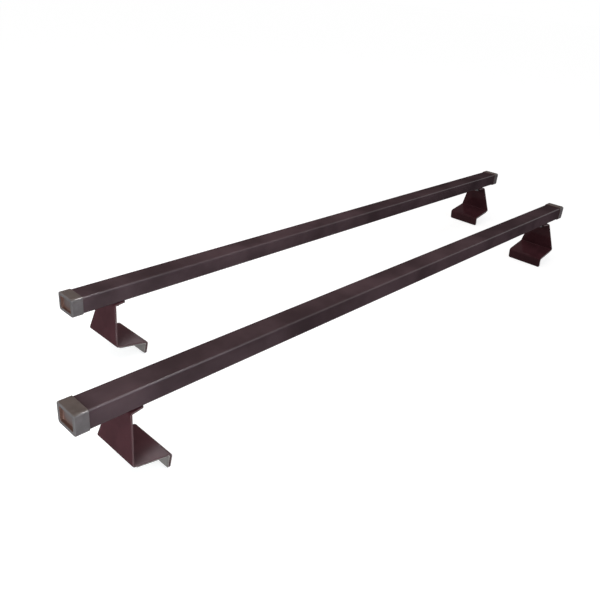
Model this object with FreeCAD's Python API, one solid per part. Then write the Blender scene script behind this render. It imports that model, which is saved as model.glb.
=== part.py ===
import FreeCAD, Part
import math
import os

from FreeCAD import Vector

# A pair of cross bars for a pickup bed. Each bar is a rectangular steel tube with a plastic cap on
# both ends and a folded sheet bracket bolted under it near each end. The bracket's foot lies on the
# bed rail and its lip hangs down inside the rail, and a rubber liner keeps both off the paint.
# Millimetres, X along the bars, Z up, the lips' lower edges on Z = 0.

# The pair
bar_length = 1400.0         # over the two end caps
bar_spacing = 270.0         # front bar to rear bar, along Y
bar_stagger = 145.0         # how far the front bar lies to the left of the rear bar

# Tube
tube_width = 40.0
tube_height = 30.0
tube_wall = 1.5
tube_corner = 3.0           # outer radius of the long edges

# End caps
cap_end_wall = 3.0
cap_skirt = 17.0            # length that covers the tube
cap_wall = 1.5
cap_gap = 0.1               # skirt to the tube's outside
cap_edge = 1.5              # rounding round the end face
cap_rim = 0.6               # rounding at the skirt's inner end
plug_gap = 0.15             # plug to the tube's inside
plug_wall = 2.5
plug_depth = 11.0           # how far the plug goes into the tube
plug_floor = 2.0            # between the pocket outside and the plug's hollow
pocket_depth = 5.0          # from the end face
pocket_corner = 1.5
pocket_edge = 0.8           # rounding round the pocket's mouth

# Brackets, each one folded sheet
sheet = 3.0
fold_radius = 1.5           # inside the bends above and below the web
web_inset = 62.0            # bar end to the web's outer face, at the foot
web_rise = 70.0             # foot corner to the tube's underside
foot_tilt = 10.5            # degrees that web, foot and lip lean from square
foot_reach = 65.0           # web's outer face to the lip's inner face, along the foot
foot_width = 86.0
lip_length = 25.0           # from the foot's upper face
lip_corner = 4.0
web_top_width = 48.0
seat_length = 22.0          # top flange under the tube, from the web's top corner
seat_corner = 2.0

# Rubber liners under the feet
liner = 2.0                 # thickness
liner_crease = 1.0          # radius in the liner's own corner
liner_start = 8.0           # from the web's outer face
liner_stop = 1.5            # bare strip above the lip's lower edge
liner_margin = 0.5          # bare strip at each side of the foot

# Fasteners, two to a bracket, driven from below into a tapped plate inside the tube
bolt_size = 6.0
bolt_length = 16.0          # under the head
bolt_pitch = 14.0           # between the two bolts, along Y
bolt_chamfer = 0.8
head_flats = 10.0
head_height = 4.0
thread_gap = 0.05           # bolt to the plate's tapped hole
hole_gap = 0.3              # bolt to the holes in tube and bracket
washer_gap = 0.2            # bolt to the washers
flat_washer_width = 12.0
flat_washer_thickness = 1.6
spring_washer_width = 10.4
spring_washer_thickness = 1.6
spring_washer_slit = 1.2
plate_width = 32.0          # along Y
plate_length = 14.0         # along X
plate_thickness = 5.0
plate_edge = 0.8

# Worked out from the above. The bar's own frame has X = 0 at its left end, Z = 0 at the tube's underside.
lip_fold = liner + liner_crease               # radius inside the lip's bend, which the liner fills
outer_fold = fold_radius + sheet
tilt = math.radians(foot_tilt)
lip_end = sheet - lip_length                  # lip's lower edge, along the web's direction
inner_width = tube_width - 2 * tube_wall
inner_height = tube_height - 2 * tube_wall
inner_corner = tube_corner - tube_wall
stand_height = web_rise + foot_reach * math.sin(tilt) - lip_end * math.cos(tilt)
through = 2 * (tube_height + web_rise)        # longer than any wall that a cut goes through


def foot_point(along, up):
    """Point of the tilted foot: along runs inward on its underside, up runs along the web."""
    return Vector(web_inset + along * math.cos(tilt) + up * math.sin(tilt), 0,
                  -web_rise - along * math.sin(tilt) + up * math.cos(tilt))


web_middle_top = (web_rise - sheet / 2 + sheet / 2 * math.sin(tilt)) / math.cos(tilt)
web_top = foot_point(sheet / 2, web_middle_top)
seat_end = web_top.x + seat_length
seat_bend = outer_fold * math.tan((math.pi / 2 - tilt) / 2)
bolt_x = (web_top.x + seat_bend - sheet / 2 + seat_end) / 2


def rounded_bar(x_start, x_end, width, height, corner):
    """Rectangular bar along X with rounded long edges, standing on Z = 0 and centred on Y = 0."""
    bar = Part.makeBox(x_end - x_start, width, height, Vector(x_start, -width / 2, 0))
    long_edges = [edge for edge in bar.Edges if abs(edge.tangentAt(edge.FirstParameter).x) > 0.5]
    return bar.makeFillet(corner, long_edges)


def edges_at(shape, x):
    """Edges that lie in the plane at x."""
    return [edge for edge in shape.Edges
            if abs(edge.BoundBox.XMin - x) < 1e-4 and abs(edge.BoundBox.XMax - x) < 1e-4]


def folded_sheet(points, thickness, inner_radii, width):
    """Sheet of even thickness whose middle runs through the points, with a round bend at each."""
    near = []
    far = []
    start = points[0]
    for place in range(1, len(points)):
        corner = points[place]
        ahead = (corner - start).normalize()
        side = Vector(ahead.z, 0, -ahead.x)
        last = place == len(points) - 1
        if not last:
            radius = inner_radii[place - 1] + thickness / 2
            leaving = (points[place + 1] - corner).normalize()
            turn = ahead.getAngle(leaving)
            stop = corner - ahead * (radius * math.tan(turn / 2))
            after = corner + leaving * (radius * math.tan(turn / 2))
            bisector = (leaving - ahead).normalize()
            centre = corner + bisector * (radius / math.cos(turn / 2))
        else:
            stop = corner
        for edges, offset in ((near, thickness / 2), (far, -thickness / 2)):
            edges.append(Part.makeLine(start + side * offset, stop + side * offset))
            if not last:
                turned = Vector(leaving.z, 0, -leaving.x)
                begin = stop + side * offset
                finish = after + turned * offset
                middle = centre - bisector * (begin - centre).Length
                edges.append(Part.Arc(begin, middle, finish).toShape())
        if not last:
            start = after
    ends = [Part.makeLine(near[0].Vertexes[0].Point, far[0].Vertexes[0].Point),
            Part.makeLine(near[-1].Vertexes[-1].Point, far[-1].Vertexes[-1].Point)]
    outline = Part.Wire(Part.__sortEdges__(near + far + ends))
    face = Part.Face(outline)
    face.translate(Vector(0, -width / 2, 0))
    return face.extrude(Vector(0, width, 0))


def bolt_places():
    """Centres of a bracket's two bolts, on the tube's underside."""
    return [Vector(bolt_x, side * bolt_pitch / 2, 0) for side in (-1, 1)]


def bolt_holes(shape, bottom, top):
    """The shape with the two bolts' clearance holes from bottom to top."""
    for place in bolt_places():
        hole = Part.makeCylinder(bolt_size / 2 + hole_gap, top - bottom, place + Vector(0, 0, bottom))
        shape = shape.cut(hole)
    return shape


def make_tube():
    """Hollow tube, with two bolt holes in its underside at each end."""
    start = cap_end_wall
    end = bar_length - cap_end_wall
    tube = rounded_bar(start, end, tube_width, tube_height, tube_corner)
    hollow = rounded_bar(start, end, inner_width, inner_height, inner_corner)
    hollow.translate(Vector(0, 0, tube_wall))
    tube = tube.cut(hollow)
    for turned in (False, True):
        if turned:
            tube.rotate(Vector(bar_length / 2, 0, 0), Vector(0, 0, 1), 180)
        tube = bolt_holes(tube, -tube_wall, 2 * tube_wall)
    return tube


def make_end_cap():
    """Moulded cap: a skirt over the tube, a hollow plug inside it and a shallow pocket in the end."""
    length = cap_end_wall + cap_skirt
    reach = cap_gap + cap_wall
    cap = rounded_bar(0, length, tube_width + 2 * reach, tube_height + 2 * reach, tube_corner + reach)
    cap.translate(Vector(0, 0, -reach))
    cap = cap.makeFillet(cap_edge, edges_at(cap, 0))
    cap = cap.makeFillet(cap_rim, edges_at(cap, length))
    room = rounded_bar(cap_end_wall, length, tube_width + 2 * cap_gap, tube_height + 2 * cap_gap,
                       tube_corner + cap_gap)
    room.translate(Vector(0, 0, -cap_gap))
    plug_height = inner_height - 2 * plug_gap
    plug_width = inner_width - 2 * plug_gap
    plug = rounded_bar(cap_end_wall, cap_end_wall + plug_depth, plug_width, plug_height,
                       inner_corner - plug_gap)
    plug.translate(Vector(0, 0, tube_wall + plug_gap))
    bore_width = plug_width - 2 * plug_wall
    bore_height = plug_height - 2 * plug_wall
    pocket = rounded_bar(0, pocket_depth, bore_width, bore_height, pocket_corner)
    hollow = rounded_bar(pocket_depth + plug_floor, cap_end_wall + plug_depth, bore_width, bore_height,
                         pocket_corner)
    bores = pocket.fuse(hollow)
    bores.translate(Vector(0, 0, tube_wall + plug_gap + plug_wall))
    cap = cap.cut(room.cut(plug)).cut(bores)
    mouth = [edge for edge in edges_at(cap, 0)
             if edge.BoundBox.YLength <= bore_width
             and edge.BoundBox.ZMin > tube_wall and edge.BoundBox.ZMax < tube_height - tube_wall]
    return cap.makeFillet(pocket_edge, mouth)


def make_bracket():
    """Top flange, web, foot and lip folded from one sheet that narrows up the web to the tube."""
    middle = sheet / 2
    path = [Vector(seat_end, 0, -middle), web_top, foot_point(middle, middle),
            foot_point(foot_reach - middle, middle), foot_point(foot_reach - middle, lip_end)]
    bracket = folded_sheet(path, sheet, [fold_radius, fold_radius, lip_fold], foot_width)

    # The web's sides run in from the foot's width to the seat's, seen from the bar's end.
    taper_start = foot_point(0, outer_fold).z
    half = foot_width / 2
    slant = Vector(0, web_top_width / 2 - half, -taper_start)
    top = Vector(0, half, taper_start) + slant * 2
    for side in (-1, 1):
        corners = [Vector(0, side * half, taper_start), Vector(0, side * top.y, top.z),
                   Vector(0, side * half, top.z)]
        wedge = Part.Face(Part.makePolygon(corners + corners[:1])).extrude(Vector(seat_end + sheet, 0, 0))
        bracket = bracket.cut(wedge)

    # The top flange goes on narrowing to the tube's width.
    seat_start = web_top.x
    for side in (-1, 1):
        corners = [Vector(seat_start, side * web_top_width / 2, -sheet - fold_radius),
                   Vector(seat_end, side * tube_width / 2, -sheet - fold_radius),
                   Vector(seat_end, side * half, -sheet - fold_radius),
                   Vector(seat_start, side * half, -sheet - fold_radius)]
        wedge = Part.Face(Part.makePolygon(corners + corners[:1])).extrude(Vector(0, 0, through))
        bracket = bracket.cut(wedge)

    lip_way = foot_point(1, 0) - foot_point(0, 0)
    lip_top = foot_point(foot_reach, lip_end).z + lip_length / 2
    lip_corners = [edge for edge in bracket.Edges if edge.BoundBox.ZMax < lip_top
                   and abs(edge.tangentAt(edge.FirstParameter).dot(lip_way)) > 0.99]
    bracket = bracket.makeFillet(lip_corner, lip_corners)
    seat_corners = [edge for edge in edges_at(bracket, seat_end) if edge.BoundBox.YLength < sheet / 2]
    bracket = bracket.makeFillet(seat_corner, seat_corners)
    return bolt_holes(bracket, -2 * sheet, sheet)


def make_foot_liner():
    """Rubber strip under the foot and down the lip's outer face."""
    middle = liner / 2
    wall = foot_reach - sheet
    path = [foot_point(liner_start, -middle), foot_point(wall - middle, -middle),
            foot_point(wall - middle, lip_end + liner_stop)]
    return folded_sheet(path, liner, [liner_crease], foot_width - 2 * liner_margin)


def make_nut_plate():
    """Plate on the tube's floor with the two bolts' tapped holes."""
    plate = Part.makeBox(plate_length, plate_width, plate_thickness,
                         Vector(bolt_x - plate_length / 2, -plate_width / 2, tube_wall))
    plate = plate.makeFillet(plate_edge, plate.Edges)
    for place in bolt_places():
        hole = Part.makeCylinder(bolt_size / 2 + thread_gap, through, place)
        plate = plate.cut(hole)
    return plate


def ring(width, thickness, place):
    """Washer whose upper face is at the place."""
    outer = Part.makeCylinder(width / 2, thickness, place - Vector(0, 0, thickness))
    inner = Part.makeCylinder(bolt_size / 2 + washer_gap, thickness, place - Vector(0, 0, thickness))
    return outer.cut(inner)


def make_flat_washers():
    """Plain washers against the top flange."""
    return [ring(flat_washer_width, flat_washer_thickness, place - Vector(0, 0, sheet))
            for place in bolt_places()]


def make_spring_washers():
    """Split washers under the plain ones."""
    washers = []
    for place in bolt_places():
        top = place - Vector(0, 0, sheet + flat_washer_thickness)
        slit = Part.makeBox(spring_washer_width, spring_washer_slit, through,
                            top + Vector(0, -spring_washer_slit / 2, -through / 2))
        washers.append(ring(spring_washer_width, spring_washer_thickness, top).cut(slit))
    return washers


def make_bolts():
    """Hexagon head bolts with a chamfered point and a bevelled head."""
    bolts = []
    head_radius = head_flats / math.sqrt(3)
    for place in bolt_places():
        seat = place - Vector(0, 0, sheet + flat_washer_thickness + spring_washer_thickness)
        bottom = seat - Vector(0, 0, head_height)
        corners = [bottom + Vector(head_radius * math.cos(step * math.pi / 3),
                                   head_radius * math.sin(step * math.pi / 3), 0) for step in range(7)]
        head = Part.Face(Part.makePolygon(corners)).extrude(Vector(0, 0, head_height))
        round_off = Part.makeCone(head_flats / 2, head_flats / 2 + through, through, bottom)
        shank = Part.makeCylinder(bolt_size / 2, bolt_length, seat)
        tip = [edge for edge in shank.Edges if edge.BoundBox.ZMin > seat.z + bolt_length / 2
               and edge.BoundBox.ZLength < bolt_chamfer]
        bolts.append(head.common(round_off).fuse(shank.makeChamfer(bolt_chamfer, tip)))
    return bolts


def save(name, solids, turned, shift):
    """Write one node, built at a bar's left end, at the wanted end and place."""
    placed = []
    for solid in solids:
        piece = solid.copy()
        if turned:
            piece.rotate(Vector(bar_length / 2, 0, 0), Vector(0, 0, 1), 180)
        piece.translate(shift)
        placed.append(piece)
    shape = placed[0] if len(placed) == 1 else Part.makeCompound(placed)
    shape.exportStep("parts/" + name + ".step")


os.makedirs("parts", exist_ok=True)

tube = make_tube()
end_pieces = {
    "end_cap": [make_end_cap()],
    "bracket": [make_bracket()],
    "foot_liner": [make_foot_liner()],
    "nut_plate": [make_nut_plate()],
    "bolts": make_bolts(),
    "spring_washers": make_spring_washers(),
    "flat_washers": make_flat_washers(),
}
for bar, side in (("front", -1), ("rear", 1)):
    shift = Vector(side * bar_stagger / 2 - bar_length / 2, side * bar_spacing / 2, stand_height)
    save(bar + "_tube", [tube], False, shift)
    for end, turned in (("left", False), ("right", True)):
        for piece, solids in end_pieces.items():
            save(bar + "_" + end + "_" + piece, solids, turned, shift)
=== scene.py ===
import math
from typing import NamedTuple

import bmesh
import bpy
from bpy.props import FloatProperty, FloatVectorProperty, PointerProperty
from bpy.types import Operator, Panel, PropertyGroup
from mathutils import Matrix, Quaternion, Vector


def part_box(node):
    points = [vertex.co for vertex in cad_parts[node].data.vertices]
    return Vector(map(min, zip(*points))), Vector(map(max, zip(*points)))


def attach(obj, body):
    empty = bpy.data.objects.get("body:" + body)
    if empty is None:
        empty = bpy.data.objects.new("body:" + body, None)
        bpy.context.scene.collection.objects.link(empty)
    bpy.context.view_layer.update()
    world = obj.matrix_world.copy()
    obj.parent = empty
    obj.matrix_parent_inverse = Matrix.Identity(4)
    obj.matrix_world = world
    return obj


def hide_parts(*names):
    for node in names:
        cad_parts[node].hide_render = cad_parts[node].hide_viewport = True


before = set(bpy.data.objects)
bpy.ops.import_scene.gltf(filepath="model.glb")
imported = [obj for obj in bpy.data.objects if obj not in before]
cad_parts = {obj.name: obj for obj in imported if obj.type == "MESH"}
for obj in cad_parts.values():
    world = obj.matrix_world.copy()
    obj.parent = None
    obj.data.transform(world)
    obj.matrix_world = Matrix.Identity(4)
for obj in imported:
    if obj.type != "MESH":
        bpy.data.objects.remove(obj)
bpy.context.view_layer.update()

bl_info = {
    "name": "Bed Rack",
    "version": (1, 0, 0),
    "blender": (4, 5, 0),
    "location": "3D View > Sidebar > Bed Rack",
    "description": "Models and finishes a pair of cross bars for a pickup bed, with a studio round them",
    "category": "Object",
}

BARS = ("front", "rear")
BAR_ENDS = [(bar, end) for bar in BARS for end in ("left", "right")]
BODY = "root"


def node_size(node):
    """Length, width and height of a node in the frame."""
    low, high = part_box(node)
    return high - low


TUBE_SIZE = node_size("front_tube")
CAP_SIZE = node_size("front_left_end_cap")
BRACKET_SIZE = node_size("front_left_bracket")
WASHERS_SIZE = node_size("front_left_flat_washers")


# Sizes and colours

def metres(name, description, default):
    """A size in metres."""
    return FloatProperty(name=name, description=description, default=default, min=0.0, precision=5,
                         unit="LENGTH")


def colour(name, description, default):
    """A linear colour."""
    return FloatVectorProperty(name=name, description=description, default=default, size=3, min=0.0, max=1.0,
                               subtype="COLOR")


class RackTubeSizes(PropertyGroup):
    width: metres("Width", "Tube across the bar", TUBE_SIZE.y)
    height: metres("Height", "Tube from underside to top", TUBE_SIZE.z)
    wall: metres("Wall", "Thickness of the tube's wall", 0.0015)
    corner: metres("Corner", "Outer radius of the tube's long edges", 0.003)


class RackCapSizes(PropertyGroup):
    length: metres("Length", "Cap from its end face to the skirt's rim", CAP_SIZE.x)
    width: metres("Width", "Cap across the bar", CAP_SIZE.y)
    height: metres("Height", "Cap from underside to top", CAP_SIZE.z)
    wall: metres("Wall", "Thickness of the skirt round the tube", 0.0015)
    end_wall: metres("End wall", "Thickness over the tube's end", 0.003)
    edge: metres("End edge", "Rounding round the end face", 0.0015)
    rim: metres("Rim", "Rounding of the skirt's rim", 0.0006)
    plug_gap: metres("Plug gap", "Plug to the tube's inside", 0.00015)
    plug_wall: metres("Plug wall", "Thickness of the plug's sides", 0.0025)
    plug_depth: metres("Plug depth", "How far the plug goes into the tube", 0.011)
    plug_floor: metres("Plug floor", "Wall between the pocket and the plug's hollow", 0.002)
    pocket_depth: metres("Pocket depth", "Pocket from the end face", 0.005)
    pocket_corner: metres("Pocket corner", "Radius of the pocket's corners", 0.0015)
    pocket_edge: metres("Pocket edge", "Rounding round the pocket's mouth", 0.0008)


class RackBracketSizes(PropertyGroup):
    sheet: metres("Sheet", "Thickness of the folded sheet", 0.003)
    fold_radius: metres("Fold radius", "Radius inside the bends above and below the web", 0.0015)
    web_inset: metres("Web inset", "Bar end to the web's outer face, at the foot", 0.062)
    web_rise: metres("Web rise", "Foot corner to the tube's underside", 0.070)
    foot_tilt: FloatProperty(name="Foot tilt", description="Lean of web, foot and lip from square",
                             default=math.radians(10.5), subtype="ANGLE")
    foot_reach: metres("Foot reach", "Web's outer face to the lip's inner face", 0.065)
    foot_width: metres("Foot width", "Foot across the bar", BRACKET_SIZE.y)
    lip_length: metres("Lip length", "Lip from the foot's upper face", 0.025)
    lip_fold: metres("Lip fold", "Radius inside the lip's bend", 0.003)
    lip_corner: metres("Lip corner", "Radius of the lip's lower corners", 0.004)
    web_top_width: metres("Web top width", "Web where it meets the tube", 0.048)
    seat_length: metres("Seat length", "Top flange under the tube", 0.022)
    seat_corner: metres("Seat corner", "Radius of the top flange's corners", 0.002)
    bolt_hole: metres("Bolt hole", "Diameter of the holes for the bolts", 0.0066)
    edge: metres("Edge", "Rounding of the sheet's edges under the paint", 0.0004)


class RackLinerSizes(PropertyGroup):
    thickness: metres("Thickness", "Rubber under the foot", 0.002)
    crease: metres("Crease", "Radius inside the liner's own corner", 0.001)
    start: metres("Start", "Web's outer face to the liner's edge", 0.008)
    stop: metres("Stop", "Bare strip above the lip's lower edge", 0.0015)
    margin: metres("Margin", "Bare strip at each side of the foot", 0.0005)
    edge: metres("Edge", "Rounding of the rubber's edges", 0.0004)


class RackColours(PropertyGroup):
    bar_paint: colour("Bar paint", "Paint on the tubes", (0.050, 0.032, 0.036))
    bracket_paint: colour("Bracket paint", "Paint on the folded brackets", (0.049, 0.0165, 0.0205))
    cap_plastic: colour("Cap plastic", "Moulded end caps", (0.084, 0.071, 0.073))
    # Painted shade: this tint multiplies the caps' level faces, top and underside, in place of the light
    # falling differently on them
    cap_top_shade: colour("Cap top shade", "Tint on the end caps' level faces", (0.85, 0.77, 0.68))
    # Painted shade: the colour that the caps turn to deep in their pockets, where they are closed in
    cap_recess_shade: colour("Cap recess shade", "Moulded end caps, deep in the pocket", (0.092, 0.046, 0.037))
    liner_rubber: colour("Liner rubber", "Rubber under the feet", (0.215, 0.184, 0.178))
    zinc: colour("Black zinc", "Plated bolts, washers and nut plates", (0.070, 0.066, 0.068))


class RackStudio(PropertyGroup):
    camera_place: FloatVectorProperty(name="Camera place", description="Where the camera stands",
                                      default=(-1.0621, -0.7544, 0.6230), subtype="TRANSLATION")
    camera_azimuth: FloatProperty(name="Camera azimuth", description="Turn of the view from along +Y",
                                  default=math.radians(-48.47), subtype="ANGLE")
    camera_elevation: FloatProperty(name="Camera elevation", description="Height of the view",
                                    default=math.radians(26.59), subtype="ANGLE")
    camera_roll: FloatProperty(name="Camera roll", description="Lean of the camera to its right",
                               default=math.radians(5.11), subtype="ANGLE")
    focal_length: FloatProperty(name="Focal length", description="Lens over a 36 mm sensor",
                                default=38.71, unit="CAMERA")
    ambient: FloatProperty(name="Ambient", description="Even light from all round", default=0.24)
    floor_tone: FloatProperty(name="Floor tone", description="Share of the light that the floor throws back",
                              default=0.40)
    near_glow: FloatProperty(name="Near glow", description="White that is added to the floor by the rack",
                             default=0.78)
    far_glow: FloatProperty(name="Far glow", description="White that is added to the floor further off",
                            default=0.90)
    near_reach: metres("Near reach", "Middle of the rack to where the near glow ends", 0.8)
    far_reach: metres("Far reach", "Middle of the rack to where the far glow starts", 2.0)


class RackSettings(PropertyGroup):
    tube: PointerProperty(type=RackTubeSizes, name="Tube", description="Sizes of the tubes")
    cap: PointerProperty(type=RackCapSizes, name="End cap", description="Sizes of the end caps")
    bracket: PointerProperty(type=RackBracketSizes, name="Bracket", description="Sizes of the brackets")
    liner: PointerProperty(type=RackLinerSizes, name="Foot liner", description="Sizes of the foot liners")
    colours: PointerProperty(type=RackColours, name="Colours", description="Colours of the finishes")
    studio: PointerProperty(type=RackStudio, name="Studio", description="Camera and light")


# Places on the frame

def bar_end_place(bar, end):
    """Matrix of a bar end: X runs inward from the cap's face, Z = 0 is the tube's underside."""
    cap_low, cap_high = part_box(f"{bar}_{end}_end_cap")
    tube_low, tube_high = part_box(f"{bar}_tube")
    middle = (tube_low.y + tube_high.y) / 2
    if end == "left":
        return Matrix.Translation((cap_low.x, middle, tube_low.z))
    return Matrix.Translation((cap_high.x, middle, tube_low.z)) @ Matrix.Rotation(math.pi, 4, "Z")


def bolt_centres(bar, end):
    """Points on the tube's underside where a bracket's two bolts go through."""
    low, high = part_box(f"{bar}_{end}_flat_washers")
    centre = (low + high) / 2
    centre.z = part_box(f"{bar}_tube")[0].z
    half_pitch = (WASHERS_SIZE.y - WASHERS_SIZE.x) / 2
    return [centre + Vector((0, side * half_pitch, 0)) for side in (-1, 1)]


# Mesh tools

# Faces round a corner, a fold, a rounded edge and a hole
CORNER_STEPS = 8
FOLD_STEPS = 8
EDGE_STEPS = 3
HOLE_STEPS = 32
# Edges that turn by more than this stay sharp, or are rounded where a piece asks for it
SMOOTH_ANGLE = math.radians(40)
# Points this close are one
MERGE_DISTANCE = 1e-6
# Length of a drill over the wall that it goes through
DRILL_LENGTH = 4


def rounded_rectangle(bm, x, width, height, corner):
    """Face across X with rounded corners, centred on the X axis."""
    upright = Matrix.Rotation(math.pi / 2, 4, "Y")
    size = Matrix.Diagonal((1, width, height, 1))
    place = Matrix.Translation((x, 0, 0)) @ size @ upright
    corners = bmesh.ops.create_grid(bm, x_segments=1, y_segments=1, size=0.5, matrix=place)["verts"]
    rounded = bmesh.ops.bevel(bm, geom=corners, affect="VERTICES", offset=corner, segments=CORNER_STEPS,
                              profile=0.5, material=-1)
    return rounded["verts"][0].link_faces[0]


def skin(bm, sections, hollow=False):
    """Walls between rounded rectangles in order, closed at both ends, or joined last to first if hollow.

    Each section is (x, width, height, corner). Gives back the loop of edges at each section.
    """
    faces = [rounded_rectangle(bm, *section) for section in sections]
    loops = [list(face.edges) for face in faces]
    rings = [sorted(face.verts, key=lambda vert: math.atan2(vert.co.z, vert.co.y)) for face in faces]
    following = rings[1:] + rings[:1] if hollow else rings[1:]
    for first, second in zip(rings, following):
        for place in range(len(first)):
            bm.faces.new((first[place - 1], first[place], second[place], second[place - 1]))
    inner = faces if hollow else faces[1:-1]
    bmesh.ops.delete(bm, geom=inner, context="FACES_ONLY")
    return loops


def round_edges(bm, edges, radius, segments):
    """Round off the given edges."""
    bmesh.ops.bevel(bm, geom=edges, affect="EDGES", offset=radius, segments=segments, profile=0.5,
                    material=-1)


def pull_edge(bm, edge, along):
    """Extrude an edge into a face and give back the new edge."""
    pulled = bmesh.ops.extrude_edge_only(bm, edges=[edge])["geom"]
    ends = [part for part in pulled if isinstance(part, bmesh.types.BMVert)]
    bmesh.ops.translate(bm, vec=along, verts=ends)
    return bm.edges.get(ends)


def bend_edge(bm, edge, centre, turn):
    """Spin an edge about a line along Y through the centre and give back the last edge."""
    spun = bmesh.ops.spin(bm, geom=[edge, *edge.verts], cent=centre, axis=(0, 1, 0), angle=turn,
                          steps=FOLD_STEPS)
    return next(part for part in spun["geom_last"] if isinstance(part, bmesh.types.BMEdge))


def folded_strip(bm, points, radii, width):
    """Ribbon across Y that runs through the points, with a bend of each radius at the inner ones.

    Gives back the first and the last edge.
    """
    across = Vector((0, width / 2, 0))
    first = bm.edges.new([bm.verts.new(points[0] - across), bm.verts.new(points[0] + across)])
    edge = first
    setback = 0.0
    for place, corner in enumerate(points[1:], start=1):
        way = corner - points[place - 1]
        run = way.length - setback
        heading = way.normalized()
        if place == len(points) - 1:
            edge = pull_edge(bm, edge, heading * run)
            break
        leaving = (points[place + 1] - corner).normalized()
        turn = math.atan2(heading.cross(leaving).y, heading.dot(leaving))
        radius = radii[place - 1]
        setback = radius * math.tan(abs(turn) / 2)
        edge = pull_edge(bm, edge, heading * (run - setback))
        inward = (leaving - heading).normalized()
        centre = corner + inward * (radius / math.cos(turn / 2))
        edge = bend_edge(bm, edge, centre, turn)
    return first, edge


def new_piece(bm, name, place):
    """Object at the origin whose mesh stands at the place."""
    bmesh.ops.remove_doubles(bm, verts=bm.verts, dist=MERGE_DISTANCE)
    bmesh.ops.transform(bm, matrix=place, verts=bm.verts)
    bmesh.ops.recalc_face_normals(bm, faces=bm.faces)
    mesh = bpy.data.meshes.new(name)
    bm.to_mesh(mesh)
    bm.free()
    piece = bpy.data.objects.new(name, mesh)
    bpy.context.scene.collection.objects.link(piece)
    return piece


def thicken(piece, thickness, edge):
    """Give a ribbon its thickness, half to each side, and round its edges."""
    wall = piece.modifiers.new("Thickness", "SOLIDIFY")
    wall.thickness = thickness
    wall.offset = 0.0
    wall.use_even_offset = True
    rounding = piece.modifiers.new("Edges", "BEVEL")
    rounding.width = edge
    rounding.segments = EDGE_STEPS
    rounding.limit_method = "ANGLE"
    rounding.angle_limit = SMOOTH_ANGLE


def apply_modifiers(piece):
    """Put what the modifiers make into the piece's own mesh."""
    bpy.context.view_layer.update()
    made = bpy.data.meshes.new_from_object(piece.evaluated_get(bpy.context.evaluated_depsgraph_get()))
    made.name = piece.name
    plain = piece.data
    piece.modifiers.clear()
    piece.data = made
    bpy.data.meshes.remove(plain)


def drill(piece, centres, diameter, wall):
    """Cut round holes along Z through a wall of the piece and drop the cutter."""
    bm = bmesh.new()
    for centre in centres:
        bmesh.ops.create_cone(bm, cap_ends=True, segments=HOLE_STEPS, radius1=diameter / 2,
                              radius2=diameter / 2, depth=DRILL_LENGTH * wall,
                              matrix=Matrix.Translation(centre))
    cutter = new_piece(bm, piece.name + "_drill", Matrix.Identity(4))
    cut = piece.modifiers.new("Holes", "BOOLEAN")
    cut.operation = "DIFFERENCE"
    cut.solver = "EXACT"
    cut.object = cutter
    apply_modifiers(piece)
    bpy.data.meshes.remove(cutter.data)


def smooth(piece):
    """Shade bends smoothly and leave flats flat."""
    piece.data.shade_smooth()
    piece.data.set_sharp_from_angle(angle=SMOOTH_ANGLE)
    flats = piece.modifiers.new("Flats", "WEIGHTED_NORMAL")
    flats.keep_sharp = True
    apply_modifiers(piece)


def dress(piece, node, material):
    """Let a piece stand for a node of the frame, in its finish."""
    piece.data.materials.clear()
    piece.data.materials.append(material)
    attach(piece, BODY)
    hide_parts(node)


# Shader node groups

RELIEF_DETAIL = 3.0
MOTTLE_DETAIL = 4.0
# Part of the noise that goes from the low colour to the high one
MOTTLE_RANGE = (0.3, 0.7)
# Largest part of a surface's direction along any axis: 1 on a flat, less on a rounded edge
ROUNDED_RANGE = (1.0, 0.8)
# Part of a surface's direction along one axis: from turned away to facing along it
FACING_RANGE = (0.3, 0.9)


def set_range(node, side, limits):
    """Set the From or the To limits of a Map Range node."""
    node.inputs[f"{side} Min"].default_value = limits[0]
    node.inputs[f"{side} Max"].default_value = limits[1]


def new_group(name, inputs, outputs):
    """Empty shader node group with the named sockets, and its two end nodes."""
    group = bpy.data.node_groups.new(name, "ShaderNodeTree")
    for socket, kind, default in inputs:
        made = group.interface.new_socket(name=socket, in_out="INPUT", socket_type=kind)
        if default is not None:
            made.default_value = default
    for socket, kind in outputs:
        group.interface.new_socket(name=socket, in_out="OUTPUT", socket_type=kind)
    return group, group.nodes.new("NodeGroupInput"), group.nodes.new("NodeGroupOutput")


def relief_group():
    """Fine unevenness of a surface: the peel of sprayed paint, moulded grain, rubber's skin."""
    if "Fine Relief" in bpy.data.node_groups:
        return bpy.data.node_groups["Fine Relief"]
    group, given, result = new_group(
        "Fine Relief",
        [("Vector", "NodeSocketVector", None), ("Cell Size", "NodeSocketFloat", 0.001),
         ("Roughening", "NodeSocketFloat", 0.5)],
        [("Height", "NodeSocketFloat")])
    scale = group.nodes.new("ShaderNodeMath")
    scale.operation = "DIVIDE"
    scale.inputs[0].default_value = 1.0
    noise = group.nodes.new("ShaderNodeTexNoise")
    noise.inputs["Detail"].default_value = RELIEF_DETAIL
    group.links.new(given.outputs["Cell Size"], scale.inputs[1])
    group.links.new(given.outputs["Vector"], noise.inputs["Vector"])
    group.links.new(scale.outputs["Value"], noise.inputs["Scale"])
    group.links.new(given.outputs["Roughening"], noise.inputs["Roughness"])
    group.links.new(noise.outputs["Fac"], result.inputs["Height"])
    return group


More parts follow.
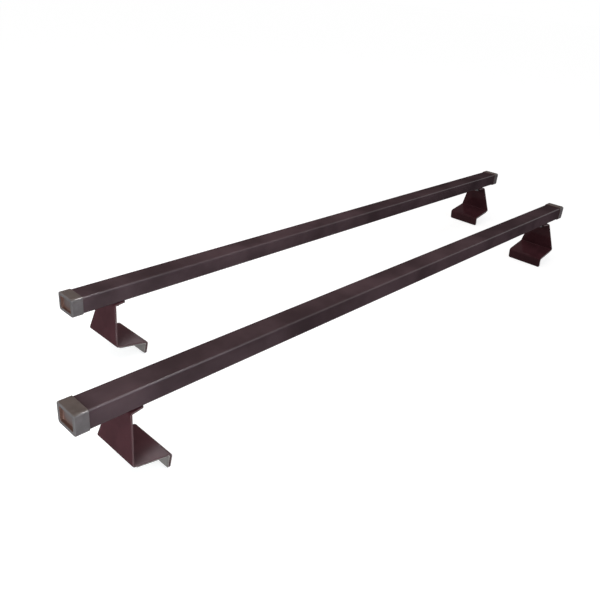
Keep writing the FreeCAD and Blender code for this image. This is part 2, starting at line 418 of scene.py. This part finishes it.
def edge_group():
    """Masks from a surface's direction: rounded edges, faces across the bar and level faces."""
    if "Edges" in bpy.data.node_groups:
        return bpy.data.node_groups["Edges"]
    group, given, result = new_group("Edges", [("Normal", "NodeSocketVector", None)],
                                     [("Rounded", "NodeSocketFloat"), ("Across", "NodeSocketFloat"),
                                      ("Level", "NodeSocketFloat")])
    unsigned = group.nodes.new("ShaderNodeVectorMath")
    unsigned.operation = "ABSOLUTE"
    parts = group.nodes.new("ShaderNodeSeparateXYZ")
    upright = group.nodes.new("ShaderNodeMath")
    upright.operation = "MAXIMUM"
    squarest = group.nodes.new("ShaderNodeMath")
    squarest.operation = "MAXIMUM"
    rounded = group.nodes.new("ShaderNodeMapRange")
    set_range(rounded, "From", ROUNDED_RANGE)
    across = group.nodes.new("ShaderNodeMapRange")
    level = group.nodes.new("ShaderNodeMapRange")
    set_range(across, "From", FACING_RANGE)
    set_range(level, "From", FACING_RANGE)
    group.links.new(given.outputs["Normal"], unsigned.inputs[0])
    group.links.new(unsigned.outputs["Vector"], parts.inputs["Vector"])
    group.links.new(parts.outputs["X"], upright.inputs[0])
    group.links.new(parts.outputs["Y"], upright.inputs[1])
    group.links.new(upright.outputs["Value"], squarest.inputs[0])
    group.links.new(parts.outputs["Z"], squarest.inputs[1])
    group.links.new(squarest.outputs["Value"], rounded.inputs["Value"])
    group.links.new(parts.outputs["Y"], across.inputs["Value"])
    group.links.new(rounded.outputs["Result"], result.inputs["Rounded"])
    group.links.new(parts.outputs["Z"], level.inputs["Value"])
    group.links.new(across.outputs["Result"], result.inputs["Across"])
    group.links.new(level.outputs["Result"], result.inputs["Level"])
    return group


def mottle_group():
    """Slow drift of a finish from place to place, as a colour between two and as a mask."""
    if "Mottle" in bpy.data.node_groups:
        return bpy.data.node_groups["Mottle"]
    group, given, result = new_group(
        "Mottle",
        [("Vector", "NodeSocketVector", None), ("Patch Size", "NodeSocketFloat", 0.05),
         ("Low Colour", "NodeSocketColor", None), ("High Colour", "NodeSocketColor", None)],
        [("Color", "NodeSocketColor"), ("Mask", "NodeSocketFloat")])
    scale = group.nodes.new("ShaderNodeMath")
    scale.operation = "DIVIDE"
    scale.inputs[0].default_value = 1.0
    noise = group.nodes.new("ShaderNodeTexNoise")
    noise.inputs["Detail"].default_value = MOTTLE_DETAIL
    spread = group.nodes.new("ShaderNodeMapRange")
    spread.interpolation_type = "SMOOTHSTEP"
    set_range(spread, "From", MOTTLE_RANGE)
    blend = group.nodes.new("ShaderNodeMix")
    blend.data_type = "RGBA"
    group.links.new(given.outputs["Patch Size"], scale.inputs[1])
    group.links.new(given.outputs["Vector"], noise.inputs["Vector"])
    group.links.new(scale.outputs["Value"], noise.inputs["Scale"])
    group.links.new(noise.outputs["Fac"], spread.inputs["Value"])
    group.links.new(spread.outputs["Result"], blend.inputs["Factor"])
    group.links.new(given.outputs["Low Colour"], blend.inputs["A"])
    group.links.new(given.outputs["High Colour"], blend.inputs["B"])
    group.links.new(blend.outputs["Result"], result.inputs["Color"])
    group.links.new(spread.outputs["Result"], result.inputs["Mask"])
    return group


# Materials

# How far round itself a cap's surface looks for walls, and how open it is from deep in the pocket to
# outside; the closed-in part gets painted shade
POCKET_REACH = 0.020
POCKET_OPENNESS = (0.60, 1.00)


def shade(rgb, factor):
    """A colour made lighter or darker, with full alpha."""
    return [channel * factor for channel in rgb] + [1.0]


def finish_material(name, rgb, drift, patch_size, roughness, relief_size, relief_depth, relief_strength):
    """Material with a mottled colour, a roughness that drifts with it and a fine relief.

    drift is the share by which the colour changes, and roughness is (smoothest, roughest).
    """
    material = bpy.data.materials.new(name)
    material.use_nodes = True
    tree = material.node_tree
    shader = tree.nodes["Principled BSDF"]
    coordinates = tree.nodes.new("ShaderNodeTexCoord")

    mottle = tree.nodes.new("ShaderNodeGroup")
    mottle.node_tree = mottle_group()
    mottle.inputs["Patch Size"].default_value = patch_size
    mottle.inputs["Low Colour"].default_value = shade(rgb, 1.0 - drift)
    mottle.inputs["High Colour"].default_value = shade(rgb, 1.0 + drift)
    tree.links.new(coordinates.outputs["Object"], mottle.inputs["Vector"])
    tree.links.new(mottle.outputs["Color"], shader.inputs["Base Color"])

    spread = tree.nodes.new("ShaderNodeMapRange")
    set_range(spread, "To", roughness)
    tree.links.new(mottle.outputs["Mask"], spread.inputs["Value"])
    tree.links.new(spread.outputs["Result"], shader.inputs["Roughness"])

    relief = tree.nodes.new("ShaderNodeGroup")
    relief.node_tree = relief_group()
    relief.inputs["Cell Size"].default_value = relief_size
    bump = tree.nodes.new("ShaderNodeBump")
    bump.inputs["Strength"].default_value = relief_strength
    bump.inputs["Distance"].default_value = relief_depth
    tree.links.new(coordinates.outputs["Object"], relief.inputs["Vector"])
    tree.links.new(relief.outputs["Height"], bump.inputs["Height"])
    tree.links.new(bump.outputs["Normal"], shader.inputs["Normal"])
    return material


def add_edge_coat(material, mask, flat, edge, roughness):
    """Clear gloss that is stronger on the edges in the mask than elsewhere.

    Gives back the node with all the edge masks.
    """
    tree = material.node_tree
    shader = tree.nodes["Principled BSDF"]
    coordinates = tree.nodes.new("ShaderNodeTexCoord")
    edges = tree.nodes.new("ShaderNodeGroup")
    edges.node_tree = edge_group()
    weight = tree.nodes.new("ShaderNodeMapRange")
    set_range(weight, "To", (flat, edge))
    tree.links.new(coordinates.outputs["Normal"], edges.inputs["Normal"])
    tree.links.new(edges.outputs[mask], weight.inputs["Value"])
    tree.links.new(weight.outputs["Result"], shader.inputs["Coat Weight"])
    shader.inputs["Coat Roughness"].default_value = roughness
    return edges


def set_specular(material, level):
    """Strength of the plain reflection under any coat."""
    material.node_tree.nodes["Principled BSDF"].inputs["Specular IOR Level"].default_value = level


def bar_paint(rgb):
    """Brown-black paint with a faint orange peel, glossier on the tube's long edges."""
    material = finish_material("bar_paint", rgb, drift=0.3, patch_size=0.11, roughness=(0.26, 0.36),
                               relief_size=0.0022, relief_depth=0.0002, relief_strength=0.12)
    set_specular(material, 0.0)
    add_edge_coat(material, "Rounded", flat=0.0, edge=0.7, roughness=0.2)
    return material


def bracket_paint(rgb):
    """The same paint on the folded sheets, thinner and redder, glossier on the cut edges."""
    material = finish_material("bracket_paint", rgb, drift=0.14, patch_size=0.03, roughness=(0.34, 0.46),
                               relief_size=0.0018, relief_depth=0.0002, relief_strength=0.12)
    set_specular(material, 0.0)
    add_edge_coat(material, "Across", flat=0.07, edge=0.9, roughness=0.08)
    return material


def cap_plastic(rgb, top_shade_tint, recess_shade_rgb):
    """Gray moulded plastic with a fine grain, glossier on its edges, with painted shade: darker and browner
    on its level faces and deep in its pocket.
    """
    material = finish_material("cap_plastic", rgb, drift=0.1, patch_size=0.012, roughness=(0.42, 0.56),
                               relief_size=0.0007, relief_depth=0.0001, relief_strength=0.35)
    set_specular(material, 0.03)
    edges = add_edge_coat(material, "Rounded", flat=0.0, edge=0.45, roughness=0.05)
    tree = material.node_tree
    base = tree.nodes["Principled BSDF"].inputs["Base Color"]
    # Painted shade: level faces, top and underside, are multiplied darker and browner
    top_shade_mix = tree.nodes.new("ShaderNodeMix")
    top_shade_mix.data_type = "RGBA"
    top_shade_mix.blend_type = "MULTIPLY"
    top_shade_mix.inputs["B"].default_value = (*top_shade_tint, 1.0)
    tree.links.new(edges.outputs["Level"], top_shade_mix.inputs["Factor"])
    tree.links.new(base.links[0].from_socket, top_shade_mix.inputs["A"])
    # Painted shade: where the pocket closes round a point, its colour goes over to the recess shade colour
    pocket_occlusion = tree.nodes.new("ShaderNodeAmbientOcclusion")
    pocket_occlusion.inputs["Distance"].default_value = POCKET_REACH
    depth = tree.nodes.new("ShaderNodeMapRange")
    set_range(depth, "From", POCKET_OPENNESS)
    tint = tree.nodes.new("ShaderNodeMix")
    tint.data_type = "RGBA"
    tint.inputs["A"].default_value = (*recess_shade_rgb, 1.0)
    tree.links.new(pocket_occlusion.outputs["AO"], depth.inputs["Value"])
    tree.links.new(depth.outputs["Result"], tint.inputs["Factor"])
    tree.links.new(top_shade_mix.outputs["Result"], tint.inputs["B"])
    tree.links.new(tint.outputs["Result"], base)
    return material


def liner_rubber(rgb):
    """Matte gray rubber sheet."""
    material = finish_material("liner_rubber", rgb, drift=0.08, patch_size=0.008, roughness=(0.72, 0.85),
                               relief_size=0.0005, relief_depth=0.0001, relief_strength=0.5)
    set_specular(material, 0.1)
    return material


def zinc_steel(rgb):
    """Black zinc plate, dull in patches."""
    material = finish_material("zinc_steel", rgb, drift=0.1, patch_size=0.004, roughness=(0.38, 0.52),
                               relief_size=0.0004, relief_depth=0.00005, relief_strength=0.3)
    material.node_tree.nodes["Principled BSDF"].inputs["Metallic"].default_value = 1.0
    return material


# Pieces

def model_tube(bar, tube):
    """Hollow tube with rounded long edges."""
    low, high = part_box(f"{bar}_tube")
    inner = (tube.width - 2 * tube.wall, tube.height - 2 * tube.wall, tube.corner - tube.wall)
    outer = (tube.width, tube.height, tube.corner)
    bm = bmesh.new()
    skin(bm, [(low.x, *inner), (low.x, *outer), (high.x, *outer), (high.x, *inner)], hollow=True)
    return new_piece(bm, f"{bar}_painted_tube", Matrix.Translation((0, (low.y + high.y) / 2,
                                                                    (low.z + high.z) / 2)))


def model_end_cap(bar, end, cap, tube):
    """Moulded cap: a skirt over the tube, a hollow plug inside it and a shallow pocket in the end."""
    outer = (cap.width, cap.height, tube.corner + (cap.width - tube.width) / 2)
    room = (cap.width - 2 * cap.wall, cap.height - 2 * cap.wall, outer[2] - cap.wall)
    plug_inset = 2 * (tube.wall + cap.plug_gap)
    plug = (tube.width - plug_inset, tube.height - plug_inset, tube.corner - plug_inset / 2)
    bore = (plug[0] - 2 * cap.plug_wall, plug[1] - 2 * cap.plug_wall, cap.pocket_corner)
    plug_end = cap.end_wall + cap.plug_depth
    bm = bmesh.new()
    loops = skin(bm, [(cap.pocket_depth + cap.plug_floor, *bore), (plug_end, *bore), (plug_end, *plug),
                      (cap.end_wall, *plug), (cap.end_wall, *room), (cap.length, *room),
                      (cap.length, *outer), (0.0, *outer), (0.0, *bore), (cap.pocket_depth, *bore)])
    _, _, plug_tip, _, _, _, skirt_rim, end_face, pocket_mouth, pocket_floor = loops
    round_edges(bm, plug_tip, cap.pocket_edge, segments=2)
    round_edges(bm, skirt_rim, cap.rim, segments=3)
    round_edges(bm, end_face, cap.edge, segments=5)
    round_edges(bm, pocket_mouth, cap.pocket_edge, segments=4)
    round_edges(bm, pocket_floor, cap.pocket_edge, segments=3)
    lift = Matrix.Translation((0, 0, tube.height / 2))
    return new_piece(bm, f"{bar}_{end}_moulded_cap", bar_end_place(bar, end) @ lift)


def foot_point(bracket, along, up):
    """Point of the leaning foot in a bar end's frame: along runs inward under it, up along the web."""
    lean = bracket.foot_tilt
    return Vector((bracket.web_inset + along * math.cos(lean) + up * math.sin(lean), 0.0,
                   -bracket.web_rise - along * math.sin(lean) + up * math.cos(lean)))


def bracket_line(bracket):
    """Middle of the bracket's sheet: top flange's end, web's top, foot's two corners, lip's end."""
    half = bracket.sheet / 2
    lean = bracket.foot_tilt
    web_top = foot_point(bracket, half, (bracket.web_rise - half + half * math.sin(lean)) / math.cos(lean))
    lip = bracket.foot_reach - half
    return [web_top + Vector((bracket.seat_length, 0, 0)), web_top, foot_point(bracket, half, half),
            foot_point(bracket, lip, half), foot_point(bracket, lip, bracket.sheet - bracket.lip_length)]


def bracket_half_width(bracket, tube, web_top, point):
    """Half the sheet's width at a point: narrower up the web, and again along the top flange."""
    top = bracket.web_top_width / 2
    fold = bracket.sheet + bracket.fold_radius
    if point.x > web_top.x and point.z > -fold:
        share = (point.x - web_top.x) / bracket.seat_length
        return top + (tube.width / 2 - top) * share
    foot = bracket.foot_width / 2
    start = foot_point(bracket, 0, fold).z
    share = max(0.0, 1 - point.z / start)
    return foot + (top - foot) * share


def model_bracket(bar, end, bracket, tube):
    """Top flange, web, foot and lip folded from one sheet that narrows up the web to the tube."""
    line = bracket_line(bracket)
    fold = bracket.fold_radius + bracket.sheet / 2
    lip_fold = bracket.lip_fold + bracket.sheet / 2
    bm = bmesh.new()
    seat_edge, lip_edge = folded_strip(bm, line, [fold, fold, lip_fold], bracket.foot_width)
    for vert in bm.verts:
        vert.co.y = math.copysign(bracket_half_width(bracket, tube, line[1], vert.co), vert.co.y)
    for edge, corner in ((seat_edge, bracket.seat_corner), (lip_edge, bracket.lip_corner)):
        bmesh.ops.bevel(bm, geom=list(edge.verts), affect="VERTICES", offset=corner, segments=CORNER_STEPS,
                        profile=0.5, material=-1)
    piece = new_piece(bm, f"{bar}_{end}_folded_bracket", bar_end_place(bar, end))
    thicken(piece, bracket.sheet, bracket.edge)
    drill(piece, bolt_centres(bar, end), bracket.bolt_hole, bracket.sheet)
    return piece


def model_foot_liner(bar, end, liner, bracket):
    """Rubber strip under the foot and down the lip's outer face."""
    half = liner.thickness / 2
    wall = bracket.foot_reach - bracket.sheet - half
    lip_end = bracket.sheet - bracket.lip_length + liner.stop
    line = [foot_point(bracket, liner.start, -half), foot_point(bracket, wall, -half),
            foot_point(bracket, wall, lip_end)]
    bm = bmesh.new()
    folded_strip(bm, line, [liner.crease + half], bracket.foot_width - 2 * liner.margin)
    piece = new_piece(bm, f"{bar}_{end}_rubber_liner", bar_end_place(bar, end))
    thicken(piece, liner.thickness, liner.edge)
    apply_modifiers(piece)
    return piece


class BEDRACK_OT_make_tubes(Operator):
    """Model the two painted tubes"""
    bl_idname = "bedrack.make_tubes"
    bl_label = "Make Tubes"

    def execute(self, context):
        rack = context.scene.bed_rack
        paint = bar_paint(rack.colours.bar_paint)
        for bar in BARS:
            piece = model_tube(bar, rack.tube)
            centres = bolt_centres(bar, "left") + bolt_centres(bar, "right")
            drill(piece, centres, rack.bracket.bolt_hole, rack.tube.wall)
            smooth(piece)
            dress(piece, f"{bar}_tube", paint)
        return {"FINISHED"}


class BEDRACK_OT_make_end_caps(Operator):
    """Model the four moulded end caps"""
    bl_idname = "bedrack.make_end_caps"
    bl_label = "Make End Caps"

    def execute(self, context):
        rack = context.scene.bed_rack
        plastic = cap_plastic(rack.colours.cap_plastic, rack.colours.cap_top_shade, rack.colours.cap_recess_shade)
        for bar, end in BAR_ENDS:
            piece = model_end_cap(bar, end, rack.cap, rack.tube)
            smooth(piece)
            dress(piece, f"{bar}_{end}_end_cap", plastic)
        return {"FINISHED"}


class BEDRACK_OT_make_brackets(Operator):
    """Model the four folded brackets"""
    bl_idname = "bedrack.make_brackets"
    bl_label = "Make Brackets"

    def execute(self, context):
        rack = context.scene.bed_rack
        paint = bracket_paint(rack.colours.bracket_paint)
        for bar, end in BAR_ENDS:
            piece = model_bracket(bar, end, rack.bracket, rack.tube)
            smooth(piece)
            dress(piece, f"{bar}_{end}_bracket", paint)
        return {"FINISHED"}


class BEDRACK_OT_make_foot_liners(Operator):
    """Model the four rubber foot liners"""
    bl_idname = "bedrack.make_foot_liners"
    bl_label = "Make Foot Liners"

    def execute(self, context):
        rack = context.scene.bed_rack
        rubber = liner_rubber(rack.colours.liner_rubber)
        for bar, end in BAR_ENDS:
            piece = model_foot_liner(bar, end, rack.liner, rack.bracket)
            smooth(piece)
            dress(piece, f"{bar}_{end}_foot_liner", rubber)
        return {"FINISHED"}


class BEDRACK_OT_plate_fasteners(Operator):
    """Plate the bolts, washers and nut plates with black zinc"""
    bl_idname = "bedrack.plate_fasteners"
    bl_label = "Plate Fasteners"

    def execute(self, context):
        zinc = zinc_steel(context.scene.bed_rack.colours.zinc)
        for bar, end in BAR_ENDS:
            for fastener in ("bolts", "spring_washers", "flat_washers", "nut_plate"):
                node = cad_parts[f"{bar}_{end}_{fastener}"]
                for slot in node.material_slots:
                    slot.material = zinc
        return {"FINISHED"}


# Studio

FLOOR_SIZE = 20.0
FLOOR_DROP = 0.0002
SENSOR_WIDTH = 36.0


class Softbox(NamedTuple):
    """Area light that faces its aim: a square, or a strip where it has a strip's length.

    power is in watts, turn goes about the line to the aim, and spread is the angle that the light's
    grid lets through.
    """
    name: str
    place: tuple
    aim: tuple
    size: float
    power: float
    tint: tuple
    strip: float = 0.0
    turn: float = 0.0
    spread: float = math.pi


SOFTBOXES = (
    # The grid keeps the key off the far ends
    Softbox("key_softbox", place=(-1.45, -0.65, 0.35), aim=(-0.4, 0.6, 0.1), size=0.5, power=3.2,
            tint=(0.80, 0.93, 0.94), spread=math.radians(60)),
    Softbox("overhead_softbox", place=(-0.6, 0.25, 1.7), aim=(-0.4, 0.0, 0.1), size=1.6, power=16.0,
            tint=(1.0, 0.93, 0.88)),
    Softbox("front_softbox", place=(0.35, -1.90, 0.60), aim=(0.2, 0.0, 0.1), size=0.9, power=16.5,
            tint=(0.90, 0.94, 1.0)),
    # These two show as a glint on the near caps' upper edges
    Softbox("front_cap_lamp", place=(-0.3132, -0.8613, 0.9982), aim=(-0.7555, -0.1553, 0.1337), size=0.02,
            power=1.2, tint=(1.0, 1.0, 1.0), strip=0.3, turn=math.radians(-24.3)),
    Softbox("rear_cap_lamp", place=(-0.1157, -0.4212, 1.0859), aim=(-0.6105, 0.1148, 0.1337), size=0.02,
            power=2.2, tint=(1.0, 1.0, 1.0), strip=0.3, turn=math.radians(-36.2)),
    Softbox("back_fill_softbox", place=(-0.9, 2.2, 0.9), aim=(-0.1, 0.1, 0.1), size=1.0, power=16.0,
            tint=(1.0, 0.97, 0.95)),
    # These two show as a gray wedge on the near feet
    Softbox("front_foot_lamp", place=(1.247, 1.675, 1.439), aim=(-0.666, -0.160, 0.028), size=0.233,
            power=3.0, tint=(1.0, 0.95, 0.98), turn=math.radians(-119.6)),
    Softbox("rear_foot_lamp", place=(1.324, 2.260, 1.020), aim=(-0.521, 0.110, 0.028), size=0.177,
            power=1.0, tint=(1.0, 0.95, 0.98), turn=math.radians(-132.8)),
)


def sees_background(tree):
    """Socket that is 1 for the rays that show the background: camera, glossy and transmission."""
    path = tree.nodes.new("ShaderNodeLightPath")
    first = tree.nodes.new("ShaderNodeMath")
    first.operation = "MAXIMUM"
    second = tree.nodes.new("ShaderNodeMath")
    second.operation = "MAXIMUM"
    tree.links.new(path.outputs["Is Camera Ray"], first.inputs[0])
    tree.links.new(path.outputs["Is Glossy Ray"], first.inputs[1])
    tree.links.new(first.outputs["Value"], second.inputs[0])
    tree.links.new(path.outputs["Is Transmission Ray"], second.inputs[1])
    return second.outputs["Value"]


def light_world(ambient):
    """White to look at, and an even soft light on everything."""
    world = bpy.data.worlds.new("studio")
    world.use_nodes = True
    tree = world.node_tree
    background = tree.nodes["Background"]
    background.inputs["Color"].default_value = (1, 1, 1, 1)
    strength = tree.nodes.new("ShaderNodeMapRange")
    set_range(strength, "To", (ambient, 1.0))
    tree.links.new(sees_background(tree), strength.inputs["Value"])
    tree.links.new(strength.outputs["Result"], background.inputs["Strength"])
    bpy.context.scene.world = world


def floor_material(studio):
    """Pale floor that looks white and still takes the shadow of what stands on it."""
    material = bpy.data.materials.new("studio_floor")
    material.use_nodes = True
    tree = material.node_tree
    tree.nodes.remove(tree.nodes["Principled BSDF"])
    pale = tree.nodes.new("ShaderNodeBsdfDiffuse")
    pale.inputs["Color"].default_value = (studio.floor_tone, studio.floor_tone, studio.floor_tone, 1)
    coordinates = tree.nodes.new("ShaderNodeTexCoord")
    distance = tree.nodes.new("ShaderNodeVectorMath")
    distance.operation = "LENGTH"
    glow = tree.nodes.new("ShaderNodeMapRange")
    set_range(glow, "From", (studio.near_reach, studio.far_reach))
    set_range(glow, "To", (studio.near_glow, studio.far_glow))
    strength = tree.nodes.new("ShaderNodeMath")
    strength.operation = "MULTIPLY"
    shine = tree.nodes.new("ShaderNodeEmission")
    both = tree.nodes.new("ShaderNodeAddShader")
    tree.links.new(coordinates.outputs["Object"], distance.inputs[0])
    tree.links.new(distance.outputs["Value"], glow.inputs["Value"])
    tree.links.new(sees_background(tree), strength.inputs[0])
    tree.links.new(glow.outputs["Result"], strength.inputs[1])
    tree.links.new(strength.outputs["Value"], shine.inputs["Strength"])
    tree.links.new(pale.outputs["BSDF"], both.inputs[0])
    tree.links.new(shine.outputs["Emission"], both.inputs[1])
    tree.links.new(both.outputs["Shader"], tree.nodes["Material Output"].inputs["Surface"])
    return material


def lay_floor(studio):
    """Wide floor just under the feet."""
    bm = bmesh.new()
    bmesh.ops.create_grid(bm, x_segments=1, y_segments=1, size=FLOOR_SIZE)
    floor = new_piece(bm, "studio_floor", Matrix.Translation((0, 0, -FLOOR_DROP)))
    floor.data.materials.append(floor_material(studio))


def hang_softbox(softbox):
    """Area light as the softbox says."""
    lamp = bpy.data.lights.new(softbox.name, "AREA")
    lamp.shape = "RECTANGLE"
    lamp.size = softbox.size
    lamp.size_y = softbox.strip or softbox.size
    lamp.energy = softbox.power
    lamp.spread = softbox.spread
    lamp.color = softbox.tint
    hung = bpy.data.objects.new(softbox.name, lamp)
    hung.location = softbox.place
    facing = (Vector(softbox.aim) - Vector(softbox.place)).to_track_quat("-Z", "Y")
    hung.rotation_euler = (facing @ Quaternion((0, 0, 1), softbox.turn)).to_euler()
    bpy.context.scene.collection.objects.link(hung)


def set_camera(studio):
    """Camera at the photograph's viewing angle."""
    lens = bpy.data.cameras.new("camera")
    lens.sensor_width = SENSOR_WIDTH
    lens.lens = studio.focal_length
    camera = bpy.data.objects.new("camera", lens)
    level = math.cos(studio.camera_elevation)
    back = Vector((math.sin(studio.camera_azimuth) * level, -math.cos(studio.camera_azimuth) * level,
                   math.sin(studio.camera_elevation)))
    aim = (-back).to_track_quat("-Z", "Y") @ Quaternion((0, 0, 1), studio.camera_roll)
    camera.location = studio.camera_place
    camera.rotation_euler = aim.to_euler()
    bpy.context.scene.collection.objects.link(camera)
    bpy.context.scene.camera = camera


class BEDRACK_OT_set_up_studio(Operator):
    """Lay the floor, hang the lights and set the camera"""
    bl_idname = "bedrack.set_up_studio"
    bl_label = "Set Up Studio"

    def execute(self, context):
        studio = context.scene.bed_rack.studio
        context.scene.view_settings.view_transform = "Standard"
        light_world(studio.ambient)
        lay_floor(studio)
        for softbox in SOFTBOXES:
            hang_softbox(softbox)
        set_camera(studio)
        return {"FINISHED"}


# Panel and registration

class BEDRACK_PT_panel(Panel):
    """Sidebar panel with the rack's sizes, finishes and steps"""
    bl_idname = "BEDRACK_PT_panel"
    bl_label = "Bed Rack"
    bl_space_type = "VIEW_3D"
    bl_region_type = "UI"
    bl_category = "Bed Rack"

    def draw(self, context):
        rack = context.scene.bed_rack
        for group in (rack.tube, rack.cap, rack.bracket, rack.liner, rack.colours, rack.studio):
            box = self.layout.box()
            for name in group.__annotations__:
                box.prop(group, name)
        for step in STEPS:
            self.layout.operator(step.bl_idname)


STEPS = (BEDRACK_OT_make_tubes, BEDRACK_OT_make_end_caps, BEDRACK_OT_make_brackets,
         BEDRACK_OT_make_foot_liners, BEDRACK_OT_plate_fasteners, BEDRACK_OT_set_up_studio)
CLASSES = (RackTubeSizes, RackCapSizes, RackBracketSizes, RackLinerSizes, RackColours, RackStudio,
           RackSettings, *STEPS, BEDRACK_PT_panel)


def register():
    """Add the rack's classes and its settings to Blender."""
    for cls in CLASSES:
        bpy.utils.register_class(cls)
    bpy.types.Scene.bed_rack = PointerProperty(type=RackSettings, name="Bed rack",
                                               description="Sizes and finishes of the bed rack")


def unregister():
    """Take the rack's settings and classes out again."""
    del bpy.types.Scene.bed_rack
    for cls in reversed(CLASSES):
        bpy.utils.unregister_class(cls)


def main():
    """Build the rack and its studio."""
    register()
    bpy.ops.bedrack.make_tubes()
    bpy.ops.bedrack.make_end_caps()
    bpy.ops.bedrack.make_brackets()
    bpy.ops.bedrack.make_foot_liners()
    bpy.ops.bedrack.plate_fasteners()
    bpy.ops.bedrack.set_up_studio()


if __name__ == "__main__":
    main()
